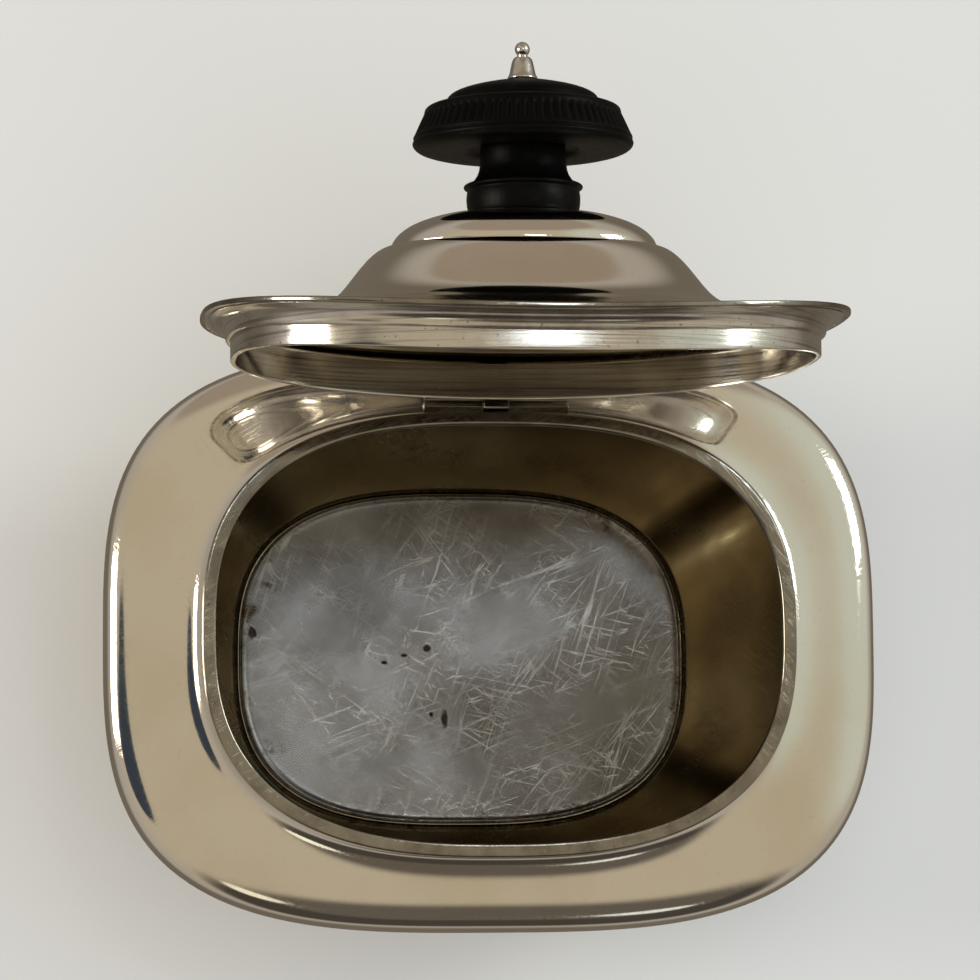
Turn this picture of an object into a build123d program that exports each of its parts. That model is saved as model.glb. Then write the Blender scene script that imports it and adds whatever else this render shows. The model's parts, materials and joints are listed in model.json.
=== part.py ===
from build123d import *
import os
from math import cos, sin, pi, radians

os.makedirs("parts", exist_ok=True)

# Hinged-lid sugar bowl in silver, in millimetres. The origin is at the centre of the base, on the
# surface that the bowl stands on. X runs along the bowl, the hinge is at the back (+Y), and the lid
# is modelled standing open, which is where it rests.

# ---- driving dimensions --------------------------------------------------------------------------
wall = 1.0                       # thickness of the raised silver sheet

base_half_length = 43.8          # plan half sizes of the shell at its foot
base_half_depth = 32.8
base_fullness = 2.83             # exponent of the cushion outline: 2 is an ellipse
belly_half_length = 70.0         # at its widest
belly_half_depth = 52.9
belly_fullness = 3.2
neck_half_length = 52.6          # short upright neck under the mouth wire
neck_half_depth = 39.4
neck_fullness = 2.64

foot_height = 2.0                # the shell stands on the base wire
belly_height = 51.2
neck_base_height = 58.2
rim_height = 63.0                # top of the mouth wire at the middle of front and back
saddle_rise = 3.3                # the mouth and the lid's edge rise this much towards the two ends
saddle_reach = 55.3              # half length at which that rise is reached

mouth_half_length = 50.7         # clear opening inside the mouth wire
mouth_half_depth = 37.4
wire_width = 2.4
wire_height = 2.2
base_wire_inset = 2.4
base_wire_proud = 0.4
floor_thickness = 1.0
floor_gap = 1.4                  # the floor plate is this much smaller than the foot outline

hinge_y = 41.0
hinge_z = rim_height - 3.7
barrel_radius = 1.4
pin_radius = 0.7
pin_clearance = 0.06
hinge_half_length = 13.0
lid_barrel_half_length = 2.2
barrel_gap = 0.2
leaf_thickness = 1.2

open_angle = 89.0                # between the closed lid and the lid at its stop
flange_lift = 3.3                # closed, the flange's edge stands this far above the mouth wire
flange_half_length = 55.3
flange_half_depth = 41.9
flange_thickness = 0.9
lid_fullness = 2.6
lid_seat_gap = 0.2               # between the closed lid's moulding and the mouth wire
bezel_half_length = 50.2
bezel_front = 36.9               # the bezel sits slightly forward, to swing clear of the wire
bezel_back = 35.3
bezel_wall = 0.9
bezel_drop = 6.4                 # from the flange's edge to the free edge of the bezel
edge_wire_width = 1.0
cavetto_steps = 3
cavetto_foot = 0.7                # how far the moulding's first step stands out from the bezel
cavetto_reach = 3.2               # and how much further its last step does
flange_root = 41.0                # half length where the flange runs into the lower step
cover_inset = 0.2                 # the hollow inside each step is its outside, lowered by the
crown_inset = 0.7                 # wall and drawn in by this much
cover_ledge = 2.2                 # how far the lower step reaches in under the upper one

crown_seat = 21.3                # heights on the lid are measured from the flange's edge
crown_fullness = 2.1
lid_step_height = 15.2
lid_step_half_length = 24.0
pin_shank_radius = 0.9
shank_hole_radius = 1.0
knob_radius = 19.0
stem_radius = 10.1
stem_neck_radius = 7.4
cap_foot_height = 32.4
cap_seat = 33.4                   # the stem stands in a recess under the cap
cap_centre_height = 45.0
ferrule_top = 48.9
ball_radius = 1.28
ball_height = 50.3
washer_radius = 4.5
washer_thickness = 0.8
nut_across_flats = 5.0
nut_thickness = 2.0

outline_points = 32              # spline points round a cushion outline
spare = 1.0                      # how far blanks and cutters run past the surface they meet

# ---- frames --------------------------------------------------------------------------------------
swing = radians(open_angle)
flange_height = rim_height + flange_lift
arm = flange_height - hinge_z
lid_frame = Plane(
    origin=(
        0,
        hinge_y - hinge_y * cos(swing) + arm * sin(swing),
        hinge_z + hinge_y * sin(swing) + arm * cos(swing),
    ),
    x_dir=(1, 0, 0),
    z_dir=(0, sin(swing), cos(swing)),
)
lid_side = Plane(origin=lid_frame.origin, x_dir=lid_frame.x_dir, z_dir=-lid_frame.y_dir)
hinge_line = Plane(origin=(0, hinge_y, hinge_z), x_dir=(0, 1, 0), z_dir=(1, 0, 0))


# ---- shapes that several pieces share ------------------------------------------------------------
def cushion(half_length, half_depth, fullness, shift=0.0):
    """The filled outline |x/a|^n + |y/b|^n = 1."""
    points = []
    for step in range(outline_points):
        turn = 2 * pi * step / outline_points
        c = cos(turn)
        s = sin(turn)
        reach = (abs(c) ** fullness + abs(s) ** fullness) ** (-1 / fullness)
        points.append((half_length * c * reach, half_depth * s * reach + shift))
    with BuildSketch() as outline:
        with BuildLine():
            Spline(*points, periodic=True)
        make_face()
    return outline.sketch


def lofted(frame, sections, straight=False):
    """A loft through cushion outlines at their heights on a frame, smooth or straight between them."""
    with BuildPart() as form:
        for height, half_length, half_depth, fullness in sections:
            with BuildSketch(frame.offset(height)):
                add(cushion(half_length, half_depth, fullness))
        loft(ruled=straight)
    return form.part


def saddle_block(side, low, high, span=80.0):
    """What lies between two saddle surfaces, whose heights are given at mid length."""
    rise = saddle_rise * (span / saddle_reach) ** 2
    with BuildPart() as block:
        with BuildSketch(side):
            with BuildLine():
                ThreePointArc((-span, low + rise), (0, low), (span, low + rise))
                Line((span, low + rise), (span, high + rise))
                ThreePointArc((span, high + rise), (0, high), (-span, high + rise))
                Line((-span, high + rise), (-span, low + rise))
            make_face()
        extrude(amount=span, both=True)
    return block.part


def saddle_ring(frame, side, outer, inner, low, high):
    """An upright ring between two cushion outlines, cut top and bottom to the saddle."""
    with BuildPart() as ring:
        with BuildSketch(frame.offset(low - spare)):
            add(cushion(*outer))
            add(cushion(*inner), mode=Mode.SUBTRACT)
        extrude(amount=high - low + saddle_rise + 2 * spare)
        add(saddle_block(side, low, high), mode=Mode.INTERSECT)
    return ring.part


def turned(profile, frame):
    """A closed profile of (radius, height) points turned about the frame's axis."""
    half_plane = Plane(origin=frame.origin, x_dir=frame.x_dir, z_dir=-frame.y_dir)
    with BuildPart() as form:
        with BuildSketch(half_plane):
            with BuildLine():
                Polyline(*profile, close=True)
            make_face()
        revolve(axis=Axis(frame.origin, frame.z_dir))
    return form.part


def barrel(start, length):
    """One hinge barrel along the hinge line, with its bore."""
    with BuildPart() as tube:
        with BuildSketch(hinge_line.offset(start)):
            Circle(barrel_radius)
            Circle(pin_radius + pin_clearance, mode=Mode.SUBTRACT)
        extrude(amount=length)
    return tube.part


def offset_sections(sections, thickness):
    """Move lofted sections inwards, square to the profile. Each is height, half sizes, fullness."""
    moved = []
    last = len(sections) - 1
    for index, (height, half_length, half_depth, fullness) in enumerate(sections):
        before = sections[max(index - 1, 0)]
        after = sections[min(index + 1, last)]
        up = after[0] - before[0]
        out = after[1] - before[1]
        run = (up * up + out * out) ** 0.5
        inset = thickness * up / run
        drop = thickness * out / run
        moved.append((height + drop, half_length - inset, half_depth - inset, fullness))
    return moved


# ---- bowl ----------------------------------------------------------------------------------------
# Profile of the raised shell at the end of the long axis: height and half length.
body_profile = [
    (foot_height, base_half_length),
    (8.0, 48.6),
    (16.0, 54.8),
    (26.0, 61.4),
    (36.0, 66.4),
    (44.0, 69.0),
    (belly_height, belly_half_length),
    (53.6, 69.1),
    (55.0, 67.0),
    (55.8, 63.8),
    (56.2, 60.2),
    (56.6, 56.8),
    (57.2, 54.3),
    (neck_base_height, neck_half_length),
]


def body_section(height, half_length):
    """Depth and fullness follow the half length, from the foot to the belly and back to the neck."""
    if height <= belly_height:
        low = (base_half_length, base_half_depth, base_fullness)
    else:
        low = (neck_half_length, neck_half_depth, neck_fullness)
    share = (half_length - low[0]) / (belly_half_length - low[0])
    half_depth = low[1] + share * (belly_half_depth - low[1])
    fullness = low[2] + share * (belly_fullness - low[2])
    return (height, half_length, half_depth, fullness)


body_sections = [body_section(*station) for station in body_profile]
hollow_sections = offset_sections(body_sections, wall)
hollow_sections[-1] = (
    neck_base_height,
    neck_half_length - wall,
    neck_half_depth - wall,
    neck_fullness,
)
first, second = hollow_sections[0], hollow_sections[1]
slope = (second[1] - first[1]) / (second[0] - first[0])
below = first[0] - foot_height + wall
hollow_sections.insert(
    0, (first[0] - below, first[1] - slope * below, first[2] - slope * below, base_fullness)
)
neck = (neck_half_length, neck_half_depth, neck_fullness)
neck_bore = (neck_half_length - wall, neck_half_depth - wall, neck_fullness)
mouth = (mouth_half_length, mouth_half_depth, neck_fullness)
mouth_outer = (mouth_half_length + wire_width, mouth_half_depth + wire_width, neck_fullness)
wire_seat = rim_height - wire_height
neck_height = wire_seat + saddle_rise + spare - neck_base_height

with BuildPart() as bowl_body:
    add(lofted(Plane.XY, body_sections))
    with BuildSketch(Plane.XY.offset(neck_base_height)):
        add(cushion(*neck))
    extrude(amount=neck_height)
    add(lofted(Plane.XY, hollow_sections), mode=Mode.SUBTRACT)
    with BuildSketch(Plane.XY.offset(neck_base_height)):
        add(cushion(*neck_bore))
    extrude(amount=neck_height, mode=Mode.SUBTRACT)
    add(saddle_block(Plane.XZ, -rim_height, wire_seat), mode=Mode.INTERSECT)

with BuildPart() as base_plate:
    with BuildSketch(Plane.XY.offset(foot_height)):
        add(cushion(base_half_length - floor_gap, base_half_depth - floor_gap, base_fullness))
    extrude(amount=floor_thickness)

wire_outer = (base_half_length + base_wire_proud, base_half_depth + base_wire_proud)
wire_inner = (base_half_length - base_wire_inset, base_half_depth - base_wire_inset)
with BuildPart() as base_wire:
    with BuildSketch():
        add(cushion(*wire_outer, base_fullness))
        add(cushion(*wire_inner, base_fullness), mode=Mode.SUBTRACT)
    extrude(amount=foot_height)

with BuildPart() as mouth_wire:
    add(saddle_ring(Plane.XY, Plane.XZ, mouth_outer, mouth, wire_seat, rim_height))

# ---- hinge ---------------------------------------------------------------------------------------
leaf_low = hinge_z - barrel_radius
leaf_depth = hinge_y - neck_half_depth + spare
outer_barrel_length = hinge_half_length - lid_barrel_half_length - barrel_gap

with BuildPart() as hinge_leaf_body:
    # two wings join the outer barrels to the neck, with a space between for the lid's barrel
    for side in (-1, 1):
        wing_middle = side * (hinge_half_length - outer_barrel_length / 2)
        with BuildSketch(Plane.XY.offset(leaf_low)):
            with Locations((wing_middle, hinge_y - leaf_depth / 2)):
                Rectangle(outer_barrel_length, leaf_depth)
        extrude(amount=2 * barrel_radius)
    with BuildSketch(Plane.XY.offset(leaf_low - spare)):
        add(cushion(*neck))
    extrude(amount=2 * (barrel_radius + spare), mode=Mode.SUBTRACT)
    with BuildSketch(hinge_line.offset(-hinge_half_length)):
        Circle(barrel_radius)
    extrude(amount=2 * hinge_half_length, mode=Mode.SUBTRACT)
    add(lofted(Plane.XY, body_sections), mode=Mode.SUBTRACT)

with BuildPart() as hinge_barrel_left:
    add(barrel(-hinge_half_length, outer_barrel_length))

with BuildPart() as hinge_barrel_right:
    add(barrel(lid_barrel_half_length + barrel_gap, outer_barrel_length))

with BuildPart() as hinge_barrel_lid:
    add(barrel(-lid_barrel_half_length, 2 * lid_barrel_half_length))

with BuildPart() as hinge_pin:
    with BuildSketch(hinge_line.offset(-hinge_half_length - barrel_gap)):
        Circle(pin_radius)
    extrude(amount=2 * (hinge_half_length + barrel_gap))

# ---- lid -----------------------------------------------------------------------------------------
lid_ratio = flange_half_depth / flange_half_length
bezel_half_depth = (bezel_front + bezel_back) / 2
bezel_shift = (bezel_back - bezel_front) / 2
bezel_outer = (bezel_half_length, bezel_half_depth, lid_fullness, bezel_shift)
bezel_inner = (bezel_half_length - bezel_wall, bezel_half_depth - bezel_wall, lid_fullness, bezel_shift)
flange_outer = (flange_half_length, flange_half_depth, lid_fullness)
flange_inner = (flange_half_length - edge_wire_width, flange_half_depth - edge_wire_width, lid_fullness)
moulding_foot = -flange_lift + lid_seat_gap

# Profile of the lower step: height and half length, from the flange up to the seam.
cover_profile = [
    (1.2, 51.5),
    (2.3, 44.5),
    (3.4, 38.5),
    (4.8, 34.4),
    (6.4, 31.9),
    (8.6, 30.2),
    (11.4, 28.3),
    (13.4, 26.6),
    (14.7, 25.0),
    (lid_step_height, lid_step_half_length),
]
# Profile of the upper step, which stands on the lower one.
crown_profile = [
    (lid_step_height, 22.8),
    (17.2, 22.0),
    (19.0, 19.9),
    (20.3, 16.8),
    (crown_seat, 12.4),
]


def lid_section(height, half_length):
    """The lid's outlines keep the flange's proportions and grow rounder towards the knob."""
    share = half_length / flange_half_length
    fullness = crown_fullness + share * (lid_fullness - crown_fullness)
    roundness = max(0.0, 1 - half_length / lid_step_half_length)
    ratio = lid_ratio + roundness * (1 - lid_ratio)
    return (height, half_length, half_length * ratio, fullness)


cover_sections = [lid_section(*station) for station in cover_profile]
crown_sections = [lid_section(*station) for station in crown_profile]
cover_hollow = [(h - wall, a - cover_inset, b - cover_inset, n) for h, a, b, n in cover_sections]
top_height, top_length, top_depth, top_fullness = cover_sections[-1]
cover_hollow.append(
    (top_height + wall, top_length - cover_ledge, top_depth - cover_ledge, top_fullness)
)
crown_hollow = [(h - wall, a - crown_inset, b - crown_inset, n) for h, a, b, n in crown_sections]
cover_root = (flange_root, flange_root * lid_ratio, lid_fullness)

with BuildPart() as lid_cover:
    # a smooth loft would bulge past the flange, where the profile flares
    add(lofted(lid_frame, cover_sections, straight=True))
    add(lofted(lid_frame, cover_hollow, straight=True), mode=Mode.SUBTRACT)
    add(saddle_block(lid_side, flange_thickness / 3, crown_seat), mode=Mode.INTERSECT)
    add(saddle_ring(lid_frame, lid_side, flange_inner, cover_root, 0, flange_thickness))

with BuildPart() as lid_crown:
    add(lofted(lid_frame, crown_sections))
    add(lofted(lid_frame, crown_hollow), mode=Mode.SUBTRACT)
    with BuildSketch(lid_frame.offset(lid_step_height)):
        Circle(shank_hole_radius)
    extrude(amount=crown_seat, mode=Mode.SUBTRACT)

with BuildPart() as lid_edge_wire:
    add(saddle_ring(lid_frame, lid_side, flange_outer, flange_inner, 0, flange_thickness))

with BuildPart() as lid_cavetto:
    # the hollow moulding under the flange, in rings that step outwards
    for step in range(cavetto_steps):
        spread = cavetto_foot + cavetto_reach * (step / (cavetto_steps - 1)) ** 2
        step_outer = (bezel_half_length + spread, bezel_half_depth + spread, lid_fullness, bezel_shift)
        step_low = moulding_foot * (1 - step / cavetto_steps)
        step_high = moulding_foot * (1 - (step + 1) / cavetto_steps)
        add(saddle_ring(lid_frame, lid_side, step_outer, bezel_outer, step_low, step_high))

with BuildPart() as lid_bezel:
    add(saddle_ring(lid_frame, lid_side, bezel_outer, bezel_inner, -bezel_drop, 0))

with BuildPart() as hinge_leaf_lid:
    with BuildSketch(lid_frame.offset(-arm)):
        with Locations((0, hinge_y)):
            Rectangle(2 * lid_barrel_half_length, leaf_thickness)
    extrude(amount=arm)
    with BuildSketch(hinge_line.offset(-hinge_half_length)):
        Circle(barrel_radius)
    extrude(amount=2 * hinge_half_length, mode=Mode.SUBTRACT)

# ---- knob ----------------------------------------------------------------------------------------
with BuildPart() as knob_stem:
    stem_profile = [
        (shank_hole_radius, crown_seat),
        (9.3, crown_seat),
        (9.8, 23.4),
        (9.8, 25.6),
        (stem_radius, 26.0),
        (stem_radius, 26.6),
        (8.4, 27.8),
        (stem_neck_radius, 29.4),
        (stem_neck_radius, cap_seat),
        (shank_hole_radius, cap_seat),
    ]
    add(turned(stem_profile, lid_frame))

with BuildPart() as knob_cap:
    cap_profile = [
        (shank_hole_radius, cap_seat),
        (9.6, cap_seat),
        (10.2, cap_foot_height),
        (16.8, cap_foot_height),
        (18.3, 32.9),
        (knob_radius, 34.0),
        (18.8, 35.0),
        (17.0, 38.8),
        (16.2, 40.2),
        (13.2, 40.6),
        (12.7, 42.0),
        (9.4, 43.4),
        (2.5, cap_centre_height),
        (shank_hole_radius, cap_centre_height),
    ]
    add(turned(cap_profile, lid_frame))

with BuildPart() as finial_ferrule:
    ferrule_profile = [
        (shank_hole_radius, cap_centre_height),
        (2.55, cap_centre_height),
        (2.2, 46.2),
        (1.9, 48.1),
        (1.4, ferrule_top),
        (shank_hole_radius, ferrule_top),
    ]
    add(turned(ferrule_profile, lid_frame))

nut_seat = crown_seat - wall - washer_thickness
pin_foot = nut_seat - nut_thickness - spare
with BuildPart() as finial_pin:
    with BuildSketch(lid_frame.offset(pin_foot)):
        Circle(pin_shank_radius)
    extrude(amount=ball_height - pin_foot)
    with Locations(lid_frame.offset(ball_height)):
        Sphere(ball_radius)

with BuildPart() as knob_washer:
    with BuildSketch(lid_frame.offset(nut_seat)):
        Circle(washer_radius)
        Circle(shank_hole_radius, mode=Mode.SUBTRACT)
    extrude(amount=washer_thickness)

with BuildPart() as knob_nut:
    with BuildSketch(lid_frame.offset(nut_seat - nut_thickness)):
        RegularPolygon(nut_across_flats / 2, 6, major_radius=False)
        Circle(pin_shank_radius, mode=Mode.SUBTRACT)
    extrude(amount=nut_thickness)

# ---- files ---------------------------------------------------------------------------------------
pieces = {
    "bowl_body": bowl_body,
    "base_plate": base_plate,
    "base_wire": base_wire,
    "mouth_wire": mouth_wire,
    "hinge_leaf_body": hinge_leaf_body,
    "hinge_barrel_left": hinge_barrel_left,
    "hinge_barrel_right": hinge_barrel_right,
    "hinge_barrel_lid": hinge_barrel_lid,
    "hinge_pin": hinge_pin,
    "lid_cover": lid_cover,
    "lid_crown": lid_crown,
    "lid_edge_wire": lid_edge_wire,
    "lid_cavetto": lid_cavetto,
    "lid_bezel": lid_bezel,
    "hinge_leaf_lid": hinge_leaf_lid,
    "knob_stem": knob_stem,
    "knob_cap": knob_cap,
    "finial_ferrule": finial_ferrule,
    "finial_pin": finial_pin,
    "knob_washer": knob_washer,
    "knob_nut": knob_nut,
}
for name, piece in pieces.items():
    piece.part.label = name
    export_step(piece.part, f"parts/{name}.step")
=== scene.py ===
import json
from math import cos, hypot, pi, radians, sin

import bmesh
import bpy
from mathutils import Matrix, Vector


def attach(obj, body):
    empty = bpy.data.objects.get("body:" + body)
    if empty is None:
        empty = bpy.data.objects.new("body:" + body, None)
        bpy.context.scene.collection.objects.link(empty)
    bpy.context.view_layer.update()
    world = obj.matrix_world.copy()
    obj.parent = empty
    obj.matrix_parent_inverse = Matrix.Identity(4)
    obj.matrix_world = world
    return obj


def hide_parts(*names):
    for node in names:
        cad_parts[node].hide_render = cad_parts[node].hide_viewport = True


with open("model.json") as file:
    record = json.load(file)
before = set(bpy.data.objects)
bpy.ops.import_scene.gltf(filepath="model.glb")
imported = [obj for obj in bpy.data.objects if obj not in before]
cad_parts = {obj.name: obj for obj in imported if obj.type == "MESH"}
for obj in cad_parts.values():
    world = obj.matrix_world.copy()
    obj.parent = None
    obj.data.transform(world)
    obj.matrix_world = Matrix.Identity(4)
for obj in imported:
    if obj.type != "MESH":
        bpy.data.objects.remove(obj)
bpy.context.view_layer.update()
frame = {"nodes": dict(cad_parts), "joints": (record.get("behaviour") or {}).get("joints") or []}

mm = 0.001

# The lid stands open at rest. lidPlace takes the closed lid's own heights, measured from the flange,
# to where the lid is.
lidHinge = next(j for j in frame["joints"] if j["name"] == "lid_hinge")
hingePoint = Vector(lidHinge["pos_m"])
openAngle = radians(lidHinge["range_deg"][1])
rimHeight = 63.0 * mm
flangeLift = 3.3 * mm
lidPlace = (
    Matrix.Translation(hingePoint)
    @ Matrix.Rotation(-openAngle, 4, "X")
    @ Matrix.Translation(Vector((0, 0, rimHeight + flangeLift)) - hingePoint)
)
# the mouth and the lid's edge rise towards the two ends of the bowl
saddleSizes = {"Saddle rise": 3.3 * mm, "Saddle reach": 55.3 * mm}


def addNode(tree, kind, inputs=None, **settings):
    node = tree.nodes.new(kind)
    for key, value in settings.items():
        setattr(node, key, value)
    for key, value in (inputs or {}).items():
        socket = node.inputs[key]
        if isinstance(value, bpy.types.NodeSocket):
            tree.links.new(value, socket)
        else:
            socket.default_value = value
    return node


def calc(tree, operation, *values):
    inputs = dict(enumerate(values))
    return addNode(tree, "ShaderNodeMath", inputs, operation=operation).outputs[0]


# The wrap tree turns a profile round a cushion outline. Each point of the profile says how high and how
# far out it is, and how full its outline is. Round pieces are outlines with equal halves and a fullness
# of 2. Flutes dent the points that ask for them.
pointFacts = ("height", "halfLength", "halfDepth", "fullness", "saddleShare", "fluteShare", "inside")


def buildWrapTree():
    tree = bpy.data.node_groups.new("cushionWrap", "GeometryNodeTree")
    tree.is_modifier = True
    face = tree.interface
    face.new_socket("Geometry", in_out="INPUT", socket_type="NodeSocketGeometry")
    for name, kind, value in (
        ("Segments", "NodeSocketInt", 192),
        ("Saddle rise", "NodeSocketFloat", 0.0),
        ("Saddle reach", "NodeSocketFloat", 1.0),
        ("Depth shift", "NodeSocketFloat", 0.0),
        ("Flutes", "NodeSocketInt", 0),
        ("Flute depth", "NodeSocketFloat", 0.0),
        ("Outside", "NodeSocketMaterial", None),
        ("Inside", "NodeSocketMaterial", None),
    ):
        socket = face.new_socket(name, in_out="INPUT", socket_type=kind)
        if value is not None:
            socket.default_value = value
    face.new_socket("Geometry", in_out="OUTPUT", socket_type="NodeSocketGeometry")

    given = addNode(tree, "NodeGroupInput").outputs
    size = addNode(tree, "GeometryNodeAttributeDomainSize", {"Geometry": given["Geometry"]})
    rows = size.outputs["Point Count"]
    columns = calc(tree, "ADD", given["Segments"], 1.0)
    grid = addNode(
        tree,
        "GeometryNodeMeshGrid",
        {"Size X": 1.0, "Size Y": 1.0, "Vertices X": columns, "Vertices Y": rows},
    ).outputs["Mesh"]
    spot = addNode(tree, "GeometryNodeInputPosition").outputs[0]
    split = addNode(tree, "ShaderNodeSeparateXYZ", {0: spot}).outputs
    turn = calc(tree, "MULTIPLY", calc(tree, "ADD", split["X"], 0.5), 2 * pi)
    share = calc(tree, "ADD", split["Y"], 0.5)
    row = calc(tree, "ROUND", calc(tree, "MULTIPLY", share, calc(tree, "SUBTRACT", rows, 1.0)))
    fact = {}
    for name in pointFacts:
        named = addNode(tree, "GeometryNodeInputNamedAttribute", {"Name": name}, data_type="FLOAT")
        fact[name] = addNode(
            tree,
            "GeometryNodeSampleIndex",
            {"Geometry": given["Geometry"], "Value": named.outputs["Attribute"], "Index": row},
            data_type="FLOAT",
            domain="POINT",
        ).outputs["Value"]

    across = calc(tree, "COSINE", turn)
    along = calc(tree, "SINE", turn)
    total = calc(
        tree,
        "ADD",
        calc(tree, "POWER", calc(tree, "ABSOLUTE", across), fact["fullness"]),
        calc(tree, "POWER", calc(tree, "ABSOLUTE", along), fact["fullness"]),
    )
    reach = calc(tree, "POWER", total, calc(tree, "DIVIDE", -1.0, fact["fullness"]))
    wave = calc(tree, "SINE", calc(tree, "MULTIPLY", turn, calc(tree, "MULTIPLY", given["Flutes"], 0.5)))
    dent = calc(tree, "SUBTRACT", 1.0, calc(tree, "POWER", calc(tree, "ABSOLUTE", wave), 0.7))
    dent = calc(tree, "MULTIPLY", calc(tree, "MULTIPLY", dent, given["Flute depth"]), fact["fluteShare"])
    length = calc(tree, "SUBTRACT", fact["halfLength"], dent)
    depth = calc(tree, "SUBTRACT", fact["halfDepth"], dent)
    x = calc(tree, "MULTIPLY", length, calc(tree, "MULTIPLY", across, reach))
    y = calc(tree, "MULTIPLY", depth, calc(tree, "MULTIPLY", along, reach))
    y = calc(tree, "ADD", y, given["Depth shift"])
    lift = calc(tree, "DIVIDE", calc(tree, "ABSOLUTE", x), given["Saddle reach"])
    lift = calc(tree, "MULTIPLY", calc(tree, "POWER", lift, 2.0), given["Saddle rise"])
    z = calc(tree, "ADD", fact["height"], calc(tree, "MULTIPLY", lift, fact["saddleShare"]))
    place = addNode(tree, "ShaderNodeCombineXYZ", {0: x, 1: y, 2: z}).outputs[0]
    # the row is read from the grid's own places, so this comes before the points move
    marked = addNode(
        tree,
        "GeometryNodeStoreNamedAttribute",
        {"Geometry": grid, "Name": "inside", "Value": fact["inside"]},
        data_type="FLOAT",
        domain="POINT",
    ).outputs[0]
    moved = addNode(tree, "GeometryNodeSetPosition", {"Geometry": marked, "Position": place}).outputs[0]
    seam = {"Geometry": moved, "Distance": 0.002 * mm}
    closed = addNode(tree, "GeometryNodeMergeByDistance", seam).outputs[0]
    smooth = addNode(tree, "GeometryNodeSetShadeSmooth", {"Geometry": closed}).outputs[0]
    real = addNode(tree, "GeometryNodeRealizeInstances", {"Geometry": smooth}).outputs[0]
    outside = addNode(tree, "GeometryNodeSetMaterial", {"Geometry": real, "Material": given["Outside"]})
    within = addNode(tree, "GeometryNodeInputNamedAttribute", {"Name": "inside"}, data_type="FLOAT")
    chosen = addNode(
        tree,
        "FunctionNodeCompare",
        {"A": within.outputs["Attribute"], "B": 0.5},
        data_type="FLOAT",
        operation="GREATER_THAN",
    ).outputs[0]
    painted = addNode(
        tree,
        "GeometryNodeSetMaterial",
        {"Geometry": outside.outputs[0], "Selection": chosen, "Material": given["Inside"]},
    ).outputs[0]
    addNode(tree, "NodeGroupOutput", {"Geometry": painted})
    return tree


wrapTree = buildWrapTree()
print("wrap tree built")


# A profile point is (height, half length, half depth, fullness, saddle share, flute share, inside),
# in millimetres.
def roundPoint(radius, height, fluted=0.0, inside=0.0):
    return (height, radius, radius, 2.0, 0.0, fluted, inside)


def followLine(points, closed, steps):
    # a cubic B-spline on the points; an open line reaches both of its ends
    if closed:
        points = points + points[:3]
    else:
        points = [points[0]] * 2 + points + [points[-1]] * 2
    line = []
    for start in range(len(points) - 3):
        four = points[start : start + 4]
        for step in range(steps):
            t = step / steps
            weights = (
                (1 - t) ** 3 / 6,
                (3 * t**3 - 6 * t**2 + 4) / 6,
                (-3 * t**3 + 3 * t**2 + 3 * t + 1) / 6,
                t**3 / 6,
            )
            line.append(tuple(sum(w * p[i] for w, p in zip(weights, four)) for i in range(len(four[0]))))
    line.append(line[0] if closed else points[-1])
    return line


def softCorners(corners, radius):
    # each corner gets a point a little before it and a little after it, which rounds it
    points = []
    for index, corner in enumerate(corners):
        for other in (corners[index - 1], None, corners[(index + 1) % len(corners)]):
            if other is None:
                points.append(corner)
                continue
            gap = hypot(other[0] - corner[0], other[1] - corner[1])
            share = min(radius / gap, 0.45) if gap else 0.0
            points.append(tuple(c + share * (o - c) for c, o in zip(corner, other)))
    return points


def wrapProfile(name, points, outside, inside=None, closed=True, steps=4, place=None, **sizes):
    line = followLine(points, closed, steps)
    mesh = bpy.data.meshes.new(name + "Profile")
    places = [(0, 0, i * mm) for i in range(len(line))]
    mesh.from_pydata(places, [(i, i + 1) for i in range(len(line) - 1)], [])
    for index, fact in enumerate(pointFacts):
        values = [point[index] for point in line]
        if fact in ("halfLength", "halfDepth"):
            values = [max(value, 0.0) for value in values]
        scale = mm if fact in ("height", "halfLength", "halfDepth") else 1.0
        layer = mesh.attributes.new(fact, "FLOAT", "POINT")
        layer.data.foreach_set("value", [value * scale for value in values])
    maker = bpy.data.objects.new(name + "Maker", mesh)
    bpy.context.scene.collection.objects.link(maker)
    wrap = maker.modifiers.new("wrap", "NODES")
    wrap.node_group = wrapTree
    wanted = {"Outside": outside, "Inside": inside or outside, **sizes}
    for item in wrapTree.interface.items_tree:
        if item.in_out == "INPUT" and item.name in wanted:
            wrap[item.identifier] = wanted[item.name]
    made = bpy.data.meshes.new_from_object(maker.evaluated_get(bpy.context.evaluated_depsgraph_get()))
    bpy.data.objects.remove(maker)
    return finishPiece(name, made, place)


def finishPiece(name, mesh, place=None):
    # normals outwards, the piece's place in its mesh, the object at the origin
    if place is not None:
        mesh.transform(place)
    work = bmesh.new()
    work.from_mesh(mesh)
    bmesh.ops.dissolve_degenerate(work, dist=0.0005 * mm, edges=work.edges)
    bmesh.ops.recalc_face_normals(work, faces=work.faces)
    work.to_mesh(mesh)
    work.free()
    mesh.name = name
    piece = bpy.data.objects.new(name, mesh)
    bpy.context.scene.collection.objects.link(piece)
    return piece


def settle(piece, body, slotName, *nodes):
    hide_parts(*nodes)
    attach(piece, body)
    print("made", piece.name, len(piece.data.polygons), "faces")


def startMaterial(name, baseColor, metallic, roughness):
    material = bpy.data.materials.new(name)
    material.use_nodes = True
    tree = material.node_tree
    shader = tree.nodes["Principled BSDF"]
    shader.inputs["Base Color"].default_value = (*baseColor, 1.0)
    shader.inputs["Metallic"].default_value = metallic
    shader.inputs["Roughness"].default_value = roughness
    return material, tree, shader


def objectPoint(tree):
    return addNode(tree, "ShaderNodeTexCoord").outputs["Object"]


def noise(tree, point, detail, rough):
    inputs = {"Vector": point, "Scale": 1.0, "Detail": detail, "Roughness": rough}
    return addNode(tree, "ShaderNodeTexNoise", inputs).outputs[0]


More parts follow.
